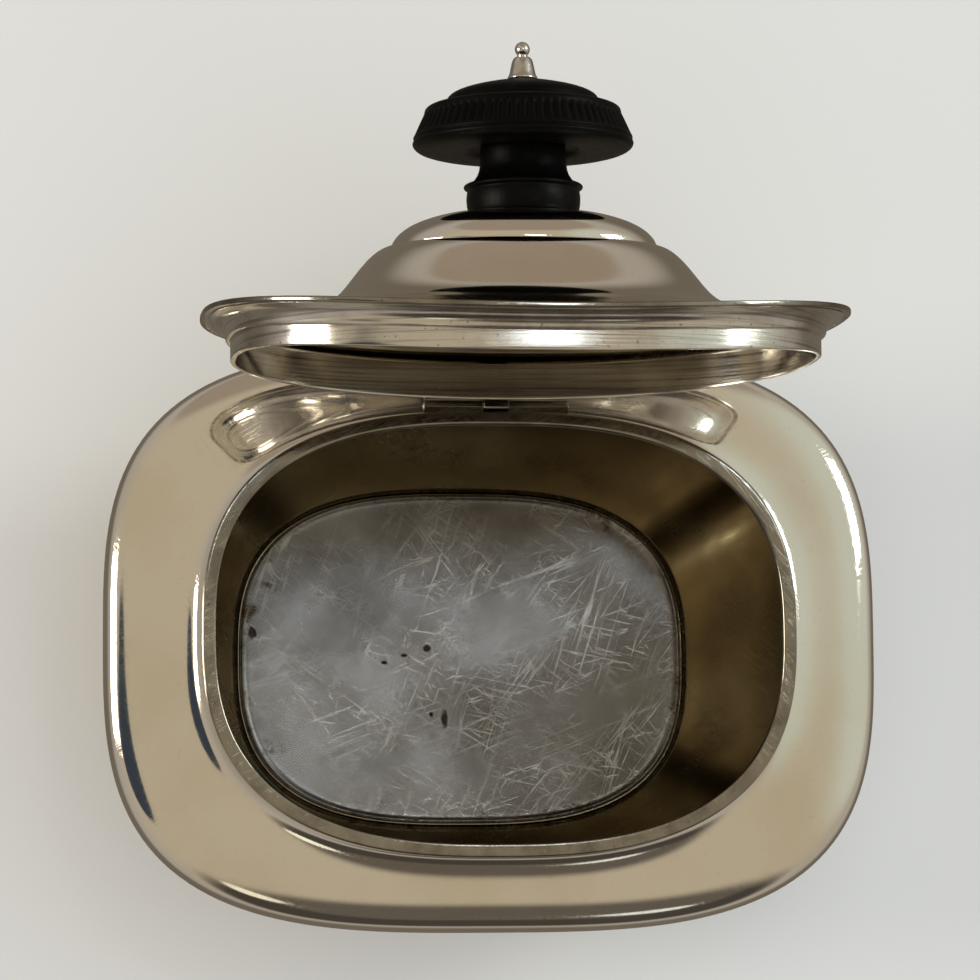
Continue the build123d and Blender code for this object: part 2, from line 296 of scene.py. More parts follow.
def cloud(tree, size, detail=4.0, rough=0.55, stretch=(1, 1, 1), shift=(0, 0, 0)):
    # soft noise whose patches are about this many millimetres across
    scale = tuple(s / (size * mm) for s in stretch)
    inputs = {"Vector": objectPoint(tree), "Scale": scale, "Location": shift}
    return noise(tree, addNode(tree, "ShaderNodeMapping", inputs).outputs[0], detail, rough)


def spread(tree, value, low, high, toLow=0.0, toHigh=1.0):
    return addNode(
        tree,
        "ShaderNodeMapRange",
        {"Value": value, "From Min": low, "From Max": high, "To Min": toLow, "To Max": toHigh},
        interpolation_type="SMOOTHSTEP",
    ).outputs[0]


def blendColors(tree, share, first, second):
    node = addNode(tree, "ShaderNodeMix", data_type="RGBA")
    # sockets 0, 6 and 7 are the share and the two colours
    for key, value in ((0, share), (6, first), (7, second)):
        if isinstance(value, bpy.types.NodeSocket):
            tree.links.new(value, node.inputs[key])
        else:
            node.inputs[key].default_value = value if key == 0 else (*value, 1.0)
    return node.outputs[2]


def scratches(tree, width, length, turn, level, shift=0.0):
    # thin lines, where noise that is drawn out along one direction crosses a level; 1 on a line
    halfLine = 0.02
    inputs = {
        "Vector": objectPoint(tree),
        "Location": (shift * mm, shift * 1.7 * mm, 0),
        "Rotation": (0, 0, turn),
        "Scale": (length * mm, width * mm, length * mm),
    }
    drawnOut = addNode(tree, "ShaderNodeMapping", inputs, vector_type="TEXTURE").outputs[0]
    away = calc(tree, "SUBTRACT", noise(tree, drawnOut, 1.0, 0.5), 0.5 + level)
    return spread(tree, calc(tree, "ABSOLUTE", away), 0.0, halfLine, 1.0, 0.0)


def addBump(tree, shader, height, distance, below=None):
    inputs = {"Height": height, "Distance": distance * mm, "Strength": 1.0}
    if below is not None:
        inputs["Normal"] = below
    bump = addNode(tree, "ShaderNodeBump", inputs).outputs[0]
    tree.links.new(bump, shader.inputs["Normal"])
    return bump


def silverFinish(name, look):
    # hand-raised silver: clouds of warm tarnish, faint waves from the hammer, fine cleaning scratches
    material, tree, shader = startMaterial(name, look["color"], 1.0, look["roughness"])
    patches = spread(tree, cloud(tree, look["cloudSize"], 5.0), 0.42, 0.68)
    specks = spread(tree, cloud(tree, 1.1, 3.0, 0.7, shift=(3, 1, 2)), 0.62, 0.72)
    tarnished = calc(tree, "MULTIPLY", patches, look["tarnish"])
    color = blendColors(tree, tarnished, look["color"], look["tarnishColor"])
    color = blendColors(tree, calc(tree, "MULTIPLY", specks, look["specks"]), color, look["speckColor"])
    hairs = calc(
        tree,
        "MAXIMUM",
        scratches(tree, 0.5, 9.0, 0.5, 0.03),
        scratches(tree, 0.4, 12.0, -0.9, -0.04, 5.0),
    )
    rough = calc(tree, "MULTIPLY_ADD", patches, look["roughness"] * 0.9, look["roughness"] * 0.7)
    rough = calc(tree, "MULTIPLY_ADD", hairs, look["scratch"] * 0.15, rough)
    rough = calc(tree, "MULTIPLY_ADD", specks, 0.12 * look["specks"], rough)
    tree.links.new(color, shader.inputs["Base Color"])
    tree.links.new(rough, shader.inputs["Roughness"])
    waves = addBump(tree, shader, cloud(tree, look["waveSize"], 1.0), look["wave"])
    addBump(tree, shader, calc(tree, "MULTIPLY", hairs, -1.0), 0.004 * look["scratch"], waves)
    return material


polishedSilver = silverFinish(
    "polishedSilver",
    {
        "color": (0.90, 0.87, 0.81),
        "tarnishColor": (0.80, 0.74, 0.62),
        "speckColor": (0.45, 0.38, 0.30),
        "tarnish": 0.5,
        "specks": 0.12,
        "roughness": 0.055,
        "scratch": 0.2,
        "cloudSize": 30.0,
        "waveSize": 30.0,
        "wave": 0.05,
    },
)
wireSilver = silverFinish(
    "wireSilver",
    {
        "color": (0.36, 0.34, 0.295),
        "tarnishColor": (0.16, 0.145, 0.115),
        "speckColor": (0.08, 0.065, 0.055),
        "tarnish": 0.7,
        "specks": 0.7,
        "roughness": 0.10,
        "scratch": 0.5,
        "cloudSize": 7.0,
        "waveSize": 6.0,
        "wave": 0.015,
    },
)
fittingSilver = silverFinish(
    "fittingSilver",
    {
        "color": (0.86, 0.85, 0.83),
        "tarnishColor": (0.46, 0.42, 0.36),
        "speckColor": (0.16, 0.13, 0.11),
        "tarnish": 0.5,
        "specks": 0.5,
        "roughness": 0.10,
        "scratch": 0.5,
        "cloudSize": 5.0,
        "waveSize": 4.0,
        "wave": 0.01,
    },
)
insideSilver = silverFinish(
    "insideSilver",
    {
        "color": (0.50, 0.43, 0.30),
        "tarnishColor": (0.28, 0.22, 0.13),
        "speckColor": (0.10, 0.08, 0.06),
        "tarnish": 0.8,
        "specks": 0.3,
        "roughness": 0.17,
        "scratch": 0.4,
        "cloudSize": 20.0,
        "waveSize": 14.0,
        "wave": 0.06,
    },
)


def wornFloorFinish(look):
    # the floor: dulled by spoons, with scratches every way, a few pits and brown stains near its edge
    material, tree, shader = startMaterial("wornFloorSilver", look["color"], 1.0, look["roughness"])
    patches = spread(tree, cloud(tree, 22.0, 3.0, 0.5), 0.3, 0.7)
    grime = spread(tree, cloud(tree, 5.0, 5.0, 0.65, shift=(4, 4, 4)), 0.5, 0.75)
    point = objectPoint(tree)
    split = addNode(tree, "ShaderNodeSeparateXYZ", {0: point}).outputs
    outX = calc(tree, "ABSOLUTE", calc(tree, "DIVIDE", split["X"], look["half"][0]))
    outY = calc(tree, "ABSOLUTE", calc(tree, "DIVIDE", split["Y"], look["half"][1]))
    out = calc(tree, "ADD", calc(tree, "POWER", outX, 3.0), calc(tree, "POWER", outY, 3.0))
    ragged = calc(tree, "ADD", out, calc(tree, "MULTIPLY_ADD", grime, 0.35, -0.1))
    edge = spread(tree, ragged, 0.72, 1.05)
    # painted shade with some brown tarnish: the right hand side is painted darker and browner
    rightShadeAndTarnish = spread(tree, split["X"], -30.0 * mm, 42.0 * mm)
    color = blendColors(tree, patches, look["color"], look["dull"])
    color = blendColors(tree, calc(tree, "MULTIPLY", rightShadeAndTarnish, 0.6), color, look["rightShadeAndTarnish"])
    color = blendColors(tree, calc(tree, "MULTIPLY", grime, 0.2), color, look["grime"])
    color = blendColors(tree, calc(tree, "MULTIPLY", edge, 0.85), color, look["stain"])
    lines = 0.0
    for index, (width, length, turn, level) in enumerate(look["scratches"]):
        lines = calc(tree, "MAXIMUM", lines, scratches(tree, width, length, turn, level, 3.0 * index))
    worn = spread(tree, cloud(tree, 14.0, 2.0, shift=(9, 2, 5)), 0.3, 0.7)
    lines = calc(tree, "MULTIPLY", lines, worn)
    color = blendColors(tree, calc(tree, "MULTIPLY", lines, 0.35), color, (0.70, 0.70, 0.70))
    pits = 0.0
    for x, y, halfWide, halfHigh in look["pits"]:
        inputs = {
            "Vector": point,
            "Location": (x * mm, y * mm, 0),
            "Scale": (halfWide * mm, halfHigh * mm, 1),
        }
        away = addNode(tree, "ShaderNodeMapping", inputs, vector_type="TEXTURE").outputs[0]
        level = {0: away, 1: (1, 1, 0)}
        flat = addNode(tree, "ShaderNodeVectorMath", level, operation="MULTIPLY").outputs[0]
        length = addNode(tree, "ShaderNodeVectorMath", {0: flat}, operation="LENGTH").outputs["Value"]
        wobble = calc(tree, "MULTIPLY_ADD", cloud(tree, 0.8, 3.0), 1.2, length)
        pits = calc(tree, "MAXIMUM", pits, spread(tree, wobble, 1.1, 1.9, 1.0, 0.0))
    color = blendColors(tree, calc(tree, "MULTIPLY", pits, 0.9), color, look["pitColor"])
    rough = calc(tree, "MULTIPLY_ADD", patches, 0.03, look["roughness"])
    rough = calc(tree, "MULTIPLY_ADD", rightShadeAndTarnish, -0.08, rough)
    rough = calc(tree, "MULTIPLY_ADD", edge, 0.12, rough)
    tree.links.new(color, shader.inputs["Base Color"])
    tree.links.new(rough, shader.inputs["Roughness"])
    soft = addBump(tree, shader, cloud(tree, 14.0, 2.0, 0.5), 0.05)
    lined = addBump(tree, shader, calc(tree, "MULTIPLY", lines, -1.0), 0.012, soft)
    addBump(tree, shader, calc(tree, "MULTIPLY", pits, -1.0), 0.12, lined)
    return material


floorSilver = wornFloorFinish(
    {
        "color": (0.36, 0.375, 0.405),
        "dull": (0.17, 0.17, 0.17),
        # the colour of the painted shade, with some brown tarnish, that the right hand side is drawn
        # towards
        "rightShadeAndTarnish": (0.13, 0.112, 0.088),
        "grime": (0.10, 0.09, 0.075),
        "stain": (0.07, 0.052, 0.034),
        "pitColor": (0.015, 0.012, 0.010),
        "roughness": 0.26,
        "half": (42.4 * mm, 31.4 * mm),
        # spacing, length, direction, and the level of noise that draws the line
        "scratches": (
            (1.5, 40.0, 0.35, 0.02),
            (1.1, 34.0, -0.6, -0.03),
            (1.8, 46.0, 1.25, 0.01),
            (1.2, 30.0, 2.2, 0.04),
            (1.6, 50.0, 0.9, -0.05),
            (1.0, 30.0, -0.2, 0.06),
        ),
        # place, half width and half height
        "pits": (
            (-6.6, 1.9, 0.7, 0.6),
            (-3.3, -11.4, 0.55, 1.7),
            (-5.9, -10.6, 0.35, 0.4),
            (-40.0, 4.9, 0.7, 1.0),
            (-14.8, -0.8, 0.5, 0.3),
            (-11.0, 0.6, 0.6, 0.25),
        ),
    }
)


def ringedFinish(name, look):
    # turned or rolled metal: fine lines that run round the piece, at one depth all the way
    material, tree, shader = startMaterial(name, look["color"], 1.0, look["roughness"])
    rings = cloud(tree, 1.0, 3.0, 0.6, (0.03, 1 / look["lineSize"], 0.03))
    patches = spread(tree, cloud(tree, 12.0, 5.0, 0.6), 0.4, 0.7)
    specks = spread(tree, cloud(tree, 0.9, 3.0, 0.7, shift=(3, 1, 2)), 0.63, 0.70)
    color = blendColors(tree, calc(tree, "MULTIPLY", patches, 0.6), look["color"], look["tarnishColor"])
    color = blendColors(tree, spread(tree, rings, 0.35, 0.5, 0.5, 0.0), color, look["lineColor"])
    color = blendColors(tree, calc(tree, "MULTIPLY", specks, 0.6), color, look["lineColor"])
    tree.links.new(color, shader.inputs["Base Color"])
    tree.links.new(calc(tree, "MULTIPLY_ADD", rings, 0.2, look["roughness"]), shader.inputs["Roughness"])
    addBump(tree, shader, rings, look["lineDepth"])
    return material


bezelSilver = ringedFinish(
    "bezelSilver",
    {
        "color": (0.80, 0.78, 0.74),
        "tarnishColor": (0.46, 0.41, 0.34),
        "lineColor": (0.20, 0.17, 0.14),
        "roughness": 0.05,
        "lineSize": 0.45,
        "lineDepth": 0.002,
    },
)


def woodFinish(name, look):
    # black stained wood with a worn polish, and a little brown where the stain is thin
    material, tree, shader = startMaterial(name, look["color"], 0.0, look["roughness"])
    grain = cloud(tree, 1.2, 4.0, 0.6, (1, 0.12, 1))
    thin = spread(tree, cloud(tree, 8.0, 4.0), 0.5, 0.8)
    dust = spread(tree, cloud(tree, 2.0, 5.0, 0.7, shift=(7, 7, 7)), 0.55, 0.75)
    color = blendColors(tree, calc(tree, "MULTIPLY", thin, 0.7), look["color"], look["brown"])
    color = blendColors(tree, calc(tree, "MULTIPLY", dust, 0.03), color, look["dust"])
    shader.inputs["Specular IOR Level"].default_value = look["shine"]
    tree.links.new(color, shader.inputs["Base Color"])
    tree.links.new(calc(tree, "MULTIPLY_ADD", grain, 0.25, look["roughness"]), shader.inputs["Roughness"])
    fine = addBump(tree, shader, grain, 0.05)
    addBump(tree, shader, dust, 0.03, fine)
    return material


ebonisedWood = woodFinish(
    "ebonisedWood",
    {
        "color": (0.001, 0.001, 0.001),
        "brown": (0.006, 0.004, 0.003),
        "dust": (0.08, 0.075, 0.07),
        "roughness": 0.28,
        "shine": 0.09,
    },
)
pinSteel = ringedFinish(
    "pinSteel",
    {
        "color": (0.74, 0.72, 0.69),
        "tarnishColor": (0.40, 0.36, 0.30),
        "lineColor": (0.15, 0.12, 0.10),
        "roughness": 0.22,
        "lineSize": 0.3,
        "lineDepth": 0.01,
    },
)
print("materials built")


bowl = {
    "wall": 1.0,
    "foot": (43.8, 32.8, 2.83),
    "belly": (70.0, 52.9, 3.2),
    "neck": (52.6, 39.4, 2.64),
    "bellyHeight": 51.2,
    "neckTop": 60.7,
    # height and half length, from the foot to the neck
    "profile": (
        (2.0, 43.8), (4.6, 45.9), (8.0, 48.6), (16.0, 54.8), (26.0, 61.4), (36.0, 66.5),
        (44.0, 69.2), (49.0, 70.0), (51.8, 70.05), (53.8, 69.3), (55.1, 67.2), (55.85, 63.9),
        (56.2, 60.3), (56.6, 57.0), (57.2, 54.5), (58.3, 52.9),
    ),
}


def bowlPoint(height, halfLength, inset=0.0, saddleShare=0.0, inside=0.0):
    low = bowl["foot"] if height <= bowl["bellyHeight"] else bowl["neck"]
    share = (halfLength - low[0]) / (bowl["belly"][0] - low[0])
    halfDepth = low[1] + share * (bowl["belly"][1] - low[1])
    fullness = low[2] + share * (bowl["belly"][2] - low[2])
    return (height, halfLength - inset, halfDepth - inset, fullness, saddleShare, 0.0, inside)


def bowlShell():
    outer = [bowlPoint(*pair) for pair in bowl["profile"]]
    inner = []
    for index, (height, halfLength) in enumerate(bowl["profile"]):
        before = bowl["profile"][max(index - 1, 0)]
        after = bowl["profile"][min(index + 1, len(bowl["profile"]) - 1)]
        rise, run = after[0] - before[0], after[1] - before[1]
        slant = hypot(rise, run)
        point = list(bowlPoint(height, halfLength, bowl["wall"] * rise / slant, 0.0, 1.0))
        point[0] += bowl["wall"] * run / slant
        inner.append(tuple(point))
    length, depth, full = bowl["neck"]
    wall = bowl["wall"]
    top = bowl["neckTop"]
    neck = [
        (59.6, length, depth, full, 0.6, 0.0, 0.0),
        (top - 0.2, length, depth, full, 1.0, 0.0, 0.0),
        (top, length, depth, full, 1.0, 0.0, 0.0),
        (top, length - 0.2, depth - 0.2, full, 1.0, 0.0, 0.0),
        (top, length - wall + 0.2, depth - wall + 0.2, full, 1.0, 0.0, 1.0),
        (top, length - wall, depth - wall, full, 1.0, 0.0, 1.0),
        (top - 0.2, length - wall, depth - wall, full, 1.0, 0.0, 1.0),
        (59.6, length - wall, depth - wall, full, 0.6, 0.0, 1.0),
    ]
    inner[0] = (2.15, outer[0][1] - 1.35, outer[0][2] - 1.35, outer[0][3], 0.0, 0.0, 1.0)
    foot = [
        (2.0, outer[0][1] - 1.2, outer[0][2] - 1.2, outer[0][3], 0.0, 0.0, 1.0),
        (2.0, outer[0][1] - 0.2, outer[0][2] - 0.2, outer[0][3], 0.0, 0.0, 0.0),
    ]
    return outer + neck + inner[::-1] + foot


body = wrapProfile(
    "bowlBody",
    bowlShell(),
    polishedSilver,
    insideSilver,
    steps=5,
    Segments=224,
    **saddleSizes,
)
settle(body, "bowl", "silver", "bowl_body")

floorPlate = {"half": (42.4, 31.4), "fullness": 2.83, "low": 2.0, "high": 3.0, "seamRise": 0.35}


def floorShell():
    length, depth = floorPlate["half"]

    def at(height, inset):
        # the depth shrinks in step with the length, so that the middle closes
        reach = length - inset
        return (height, reach, reach * depth / length, floorPlate["fullness"], 0.0, 0.0, 0.0)

    # from the dished middle of the top, out over the raised seam, and back under to the middle
    top, low, seam = floorPlate["high"], floorPlate["low"], floorPlate["high"] + floorPlate["seamRise"]
    points = [at(top - 0.15, length), at(top - 0.15, length * 0.7), at(top - 0.08, length * 0.35)]
    points += [at(top - 0.02, 6.0), at(top, 2.2), at(top + 0.02, 1.4), at(seam, 0.8), at(seam, 0.35)]
    points += [at(top - 0.1, 0.0), at(top - 0.6, 0.0), at(low + 0.1, 0.0), at(low, 0.1), at(low, 6.0)]
    return points + [at(low, length)]


plate = wrapProfile("basePlate", floorShell(), floorSilver, closed=False, Segments=160)
settle(plate, "bowl", "worn_silver", "base_plate")


def wireShell(outer, inner, fullness, low, high, radius, saddleShare):
    corners = [
        (low, *outer, fullness, saddleShare, 0.0, 0.0),
        (high, *outer, fullness, saddleShare, 0.0, 0.0),
        (high, *inner, fullness, saddleShare, 0.0, 0.0),
        (low, *inner, fullness, saddleShare, 0.0, 0.0),
    ]
    return softCorners(corners, radius)


# half sizes outside and inside, fullness, low, high, corner radius, and how much of the saddle it takes
wires = {
    "base": ((44.2, 33.2), (41.4, 30.4), 2.83, 0.0, 2.0, 0.7, 0.0),
    "mouth": ((53.1, 39.8), (50.7, 37.4), 2.64, 60.8, 63.0, 0.55, 1.0),
    "lidEdge": ((55.3, 41.9), (54.2, 40.8), 2.6, 0.0, 0.9, 0.4, 1.0),
}
baseWire = wrapProfile("baseWire", wireShell(*wires["base"]), wireSilver, Segments=192)
settle(baseWire, "bowl", "silver", "base_wire")
mouthWire = wrapProfile(
    "mouthWire", wireShell(*wires["mouth"]), wireSilver, Segments=224, **saddleSizes
)
settle(mouthWire, "bowl", "silver", "mouth_wire")

hingeSizes = {"radius": 1.4, "bore": 0.76, "pin": 0.7, "halfLength": 13.0, "lidHalf": 2.2, "gap": 0.2}
barrelPlace = Matrix.Translation(hingePoint) @ Matrix.Rotation(pi / 2, 4, "Y")


def barrelShell(start, end):
    corners = [
        roundPoint(hingeSizes["radius"], start),
        roundPoint(hingeSizes["radius"], end),
        roundPoint(hingeSizes["bore"], end),
        roundPoint(hingeSizes["bore"], start),
    ]
    return softCorners(corners, 0.18)


endOfBarrel = hingeSizes["halfLength"]
startOfBarrel = hingeSizes["lidHalf"] + hingeSizes["gap"]
for name, node, bodyName, start, end in (
    ("hingeBarrelLeft", "hinge_barrel_left", "bowl", -endOfBarrel, -startOfBarrel),
    ("hingeBarrelRight", "hinge_barrel_right", "bowl", startOfBarrel, endOfBarrel),
    ("hingeBarrelLid", "hinge_barrel_lid", "lid", -hingeSizes["lidHalf"], hingeSizes["lidHalf"]),
):
    tube = wrapProfile(name, barrelShell(start, end), wireSilver, place=barrelPlace, Segments=64)
    settle(tube, bodyName, "silver", node)

pinEnd = endOfBarrel + hingeSizes["gap"]
pinRadius = hingeSizes["pin"]
# the right half, from the end to the middle; the left half mirrors it
halfPin = ((0.0, pinEnd), (0.4, pinEnd), (pinRadius, pinEnd - 0.15), (pinRadius, pinEnd - 0.6))
pinLine = [roundPoint(radius, -along) for radius, along in halfPin]
pinLine += [roundPoint(pinRadius, 0.0)]
pinLine += [roundPoint(radius, along) for radius, along in halfPin[::-1]]
hingePin = wrapProfile("hingePin", pinLine, pinSteel, closed=False, place=barrelPlace, Segments=40)
settle(hingePin, "bowl", "steel_pin", "hinge_pin")
for node in ("hinge_leaf_body", "hinge_leaf_lid"):
    leaf = frame["nodes"][node]
    leaf.data.materials.clear()
    leaf.data.materials.append(wireSilver)

lid = {
    "flange": (55.3, 41.9),
    "fullness": 2.6,
    "crownFullness": 2.1,
    "stepLength": 24.0,
    "wall": 0.85,
    # height above the flange's edge, half length, and how much of the saddle is left there
    "cover": (
        (0.85, 54.2, 1.0), (0.95, 53.0, 1.0), (1.2, 50.6, 1.0), (1.7, 47.0, 0.9), (2.5, 42.6, 0.65),
        (3.6, 38.0, 0.35), (5.0, 34.6, 0.1), (6.8, 32.2, 0.0), (9.0, 30.4, 0.0), (11.4, 28.6, 0.0),
        (13.3, 27.0, 0.0), (14.6, 25.5, 0.0), (15.2, 24.2, 0.0),
    ),
    "crown": (
        (15.2, 22.8), (15.9, 22.8), (17.2, 22.2), (18.8, 20.4), (20.1, 17.4), (21.0, 14.0), (21.3, 11.5),
    ),
}


def lidPoint(height, halfLength, saddleShare=0.0, inset=0.0, inside=0.0):
    ratio = lid["flange"][1] / lid["flange"][0]
    share = halfLength / lid["flange"][0]
    fullness = lid["crownFullness"] + share * (lid["fullness"] - lid["crownFullness"])
    roundness = max(0.0, 1 - halfLength / lid["stepLength"])
    ratio += roundness * (1 - ratio)
    return (height, halfLength - inset, halfLength * ratio - inset, fullness, saddleShare, 0.0, inside)


def coverShell():
    outer = [lidPoint(h, a, s) for h, a, s in lid["cover"]]
    inner = []
    for index, (h, a, s) in enumerate(lid["cover"]):
        before = lid["cover"][max(index - 1, 0)]
        after = lid["cover"][min(index + 1, len(lid["cover"]) - 1)]
        rise, run = after[0] - before[0], after[1] - before[1]
        slant = hypot(rise, run)
        inner.append(lidPoint(h + lid["wall"] * run / slant, a, s, lid["wall"] * rise / slant, 1.0))
    ledge = [lidPoint(15.2, 23.7), lidPoint(14.95, 23.0)]
    ledge += [lidPoint(14.9, 22.4, inside=1.0), lidPoint(14.7, 22.0, inside=1.0)]
    root = [lidPoint(0.1, 54.0, 1.0), lidPoint(0.05, 54.25, 1.0), lidPoint(0.3, 54.3, 1.0)]
    return outer + ledge + inner[:0:-1] + root


cover = wrapProfile(
    "lidCover",
    coverShell(),
    polishedSilver,
    insideSilver,
    steps=5,
    place=lidPlace,
    Segments=224,
    **saddleSizes,
)
settle(cover, "lid", "silver", "lid_cover")


def crownShell():
    outer = [lidPoint(h, a) for h, a in lid["crown"]]
    top = [lidPoint(21.3, 6.0), roundPoint(1.05, 21.3), roundPoint(1.0, 21.1, inside=1.0)]
    top += [roundPoint(1.0, 20.6, inside=1.0), roundPoint(1.2, 20.4, inside=1.0)]
    top += [lidPoint(20.35, 6.0, inside=1.0)]
    inner = [lidPoint(h - 0.9, a, 0.0, 0.5, 1.0) for h, a in lid["crown"][:0:-1]]
    foot = [lidPoint(15.0, 22.1, inside=1.0), lidPoint(14.9, 22.4), lidPoint(14.95, 22.7)]
    return outer + top + inner + foot


crown = wrapProfile(
    "lidCrown", crownShell(), polishedSilver, insideSilver, steps=5, place=lidPlace, Segments=192
)
settle(crown, "lid", "silver", "lid_crown")

edgeWire = wrapProfile(
    "lidEdgeWire", wireShell(*wires["lidEdge"]), wireSilver, place=lidPlace, Segments=224, **saddleSizes
)
settle(edgeWire, "lid", "silver", "lid_edge_wire")

bezel = {"outer": (50.2, 36.1), "wall": 0.9, "drop": 6.4, "shift": -0.8 * mm, "fullness": 2.6}


def bezelPoint(height, spreadOut, inside=0.0):
    length, depth = bezel["outer"]
    return (height, length + spreadOut, depth + spreadOut, bezel["fullness"], 1.0, 0.0, inside)


def bezelShell():
    wall = bezel["wall"]
    corners = [
        bezelPoint(-bezel["drop"], 0.0),
        bezelPoint(0.0, 0.0),
        bezelPoint(0.0, -wall, 1.0),
        bezelPoint(-bezel["drop"], -wall, 1.0),
    ]
    return softCorners(corners, 0.3)


band = wrapProfile(
    "lidBezel",
    bezelShell(),
    bezelSilver,
    place=lidPlace,
    Segments=224,
    **saddleSizes,
    **{"Depth shift": bezel["shift"]},
)
settle(band, "lid", "silver", "lid_bezel")


def cavettoShell():
    # height from the flange's edge and how far out from the bezel, for the foot, hollow, top and back
    corners = (
        (-3.1, 0.05), (-3.1, 0.2),
        (-3.05, 0.45), (-2.95, 0.75), (-2.5, 0.85), (-1.8, 1.0), (-1.1, 1.4), (-0.55, 2.2), (-0.25, 3.2),
        (-0.12, 3.75), (-0.02, 3.85), (0.0, 3.7), (0.0, 2.0), (0.0, 0.25),
        (0.0, 0.05), (-0.2, 0.02), (-1.5, 0.02), (-2.9, 0.02),
    )
    return [bezelPoint(height, spreadOut) for height, spreadOut in corners]


cove = wrapProfile(
    "lidCavetto",
    cavettoShell(),
    bezelSilver,
    place=lidPlace,
    Segments=224,
    **saddleSizes,
    **{"Depth shift": bezel["shift"]},
)
settle(cove, "lid", "silver", "lid_cavetto")

knob = {
    "flutes": 72,
    "fluteDepth": 0.5 * mm,
    # radius and height, for the stem and the ferrule
    "stem": (
        (1.0, 21.3), (8.6, 21.3), (9.2, 21.35), (9.5, 21.8), (9.7, 22.8), (9.8, 24.0), (9.75, 25.0),
        (9.6, 25.5), (9.65, 25.75), (10.1, 25.9), (10.3, 26.25), (10.1, 26.6), (9.4, 26.8), (8.7, 27.1),
        (8.1, 27.9), (7.6, 28.9), (7.4, 30.2), (7.4, 32.8), (7.3, 33.4), (6.9, 33.4), (1.0, 33.4),
    ),
    # radius, height, and how deep the flutes are there
    "cap": (
        (1.0, 33.45, 0), (7.0, 33.45, 0), (8.9, 33.4, 0), (9.4, 33.2, 0), (9.7, 32.75, 0),
        (10.2, 32.5, 0), (11.0, 32.4, 0), (14.0, 32.35, 0), (16.6, 32.4, 0), (17.9, 32.65, 0),
        (18.7, 33.1, 0), (19.05, 33.7, 0), (18.95, 34.1, 0), (18.7, 34.25, 0), (18.7, 34.45, 0),
        (18.85, 34.6, 0), (18.85, 34.85, 0), (18.75, 35.05, 0.2), (18.6, 35.3, 1), (18.2, 36.2, 1),
        (17.7, 37.3, 1), (17.25, 38.3, 1), (17.05, 38.7, 0.2), (16.95, 38.95, 0), (16.9, 39.5, 0),
        (16.6, 39.95, 0), (15.6, 40.25, 0), (14.2, 40.3, 0), (13.5, 40.35, 0), (13.2, 40.7, 0),
        (13.1, 41.5, 0), (12.6, 42.2, 0), (11.2, 42.9, 0), (8.8, 43.6, 0), (5.6, 44.35, 0),
        (2.8, 44.85, 0), (1.0, 44.95, 0),
    ),
    "ferrule": (
        (1.0, 45.0), (2.3, 45.0), (2.6, 45.05), (2.6, 45.4), (2.35, 45.7), (2.2, 46.2), (2.0, 47.2),
        (1.8, 48.2), (1.5, 48.75), (1.2, 48.95), (1.0, 48.95),
    ),
    "pinRadius": 0.9,
    "pinFoot": 16.5,
    "ballRadius": 1.28,
    "ballHeight": 50.3,
    # radius, thickness and foot of the washer; width over flats, thickness and foot of the nut
    "washer": (4.5, 0.8, 19.5),
    "nut": (5.0, 2.0, 17.5),
}
stem = wrapProfile(
    "knobStem", [roundPoint(*pair) for pair in knob["stem"]], ebonisedWood, place=lidPlace, Segments=128
)
settle(stem, "lid", "ebonised_wood", "knob_stem")
cap = wrapProfile(
    "knobCap",
    [roundPoint(*point) for point in knob["cap"]],
    ebonisedWood,
    steps=3,
    place=lidPlace,
    Segments=knob["flutes"] * 10,
    Flutes=knob["flutes"],
    **{"Flute depth": knob["fluteDepth"]},
)
settle(cap, "lid", "ebonised_wood", "knob_cap")
ferrule = wrapProfile(
    "finialFerrule",
    [roundPoint(*pair) for pair in knob["ferrule"]],
    fittingSilver,
    place=lidPlace,
    Segments=64,
)
settle(ferrule, "lid", "silver", "finial_ferrule")


def pinShell():
    shank, foot = knob["pinRadius"], knob["pinFoot"]
    ball, ballHeight = knob["ballRadius"], knob["ballHeight"]
    points = [roundPoint(0.0, foot), roundPoint(shank - 0.25, foot), roundPoint(shank, foot + 0.25)]
    points += [roundPoint(shank, foot + 0.6), roundPoint(shank, 30.0), roundPoint(shank, 48.8)]
    # the line runs a little inside its points, so they stand a little outside the ball
    spare = 1.03
    for step in range(9):
        angle = radians(-50 + 17.5 * step)
        points.append(roundPoint(ball * cos(angle) * spare, ballHeight + ball * sin(angle) * spare))
    points.append(roundPoint(0.0, ballHeight + ball))
    return points


pin = wrapProfile("finialPin", pinShell(), fittingSilver, closed=False, place=lidPlace, Segments=48)
settle(pin, "lid", "silver", "finial_pin")


def collarShell(outer, hole, low, high, radius):
    corners = ((outer, low), (outer, high), (hole, high), (hole, low))
    return softCorners([roundPoint(*corner) for corner in corners], radius)


washerRadius, washerThick, washerLow = knob["washer"]
washer = wrapProfile(
    "knobWasher",
    collarShell(washerRadius, 1.0, washerLow, washerLow + washerThick, 0.2),
    fittingSilver,
    place=lidPlace,
    Segments=72,
)
settle(washer, "lid", "silver", "knob_washer")


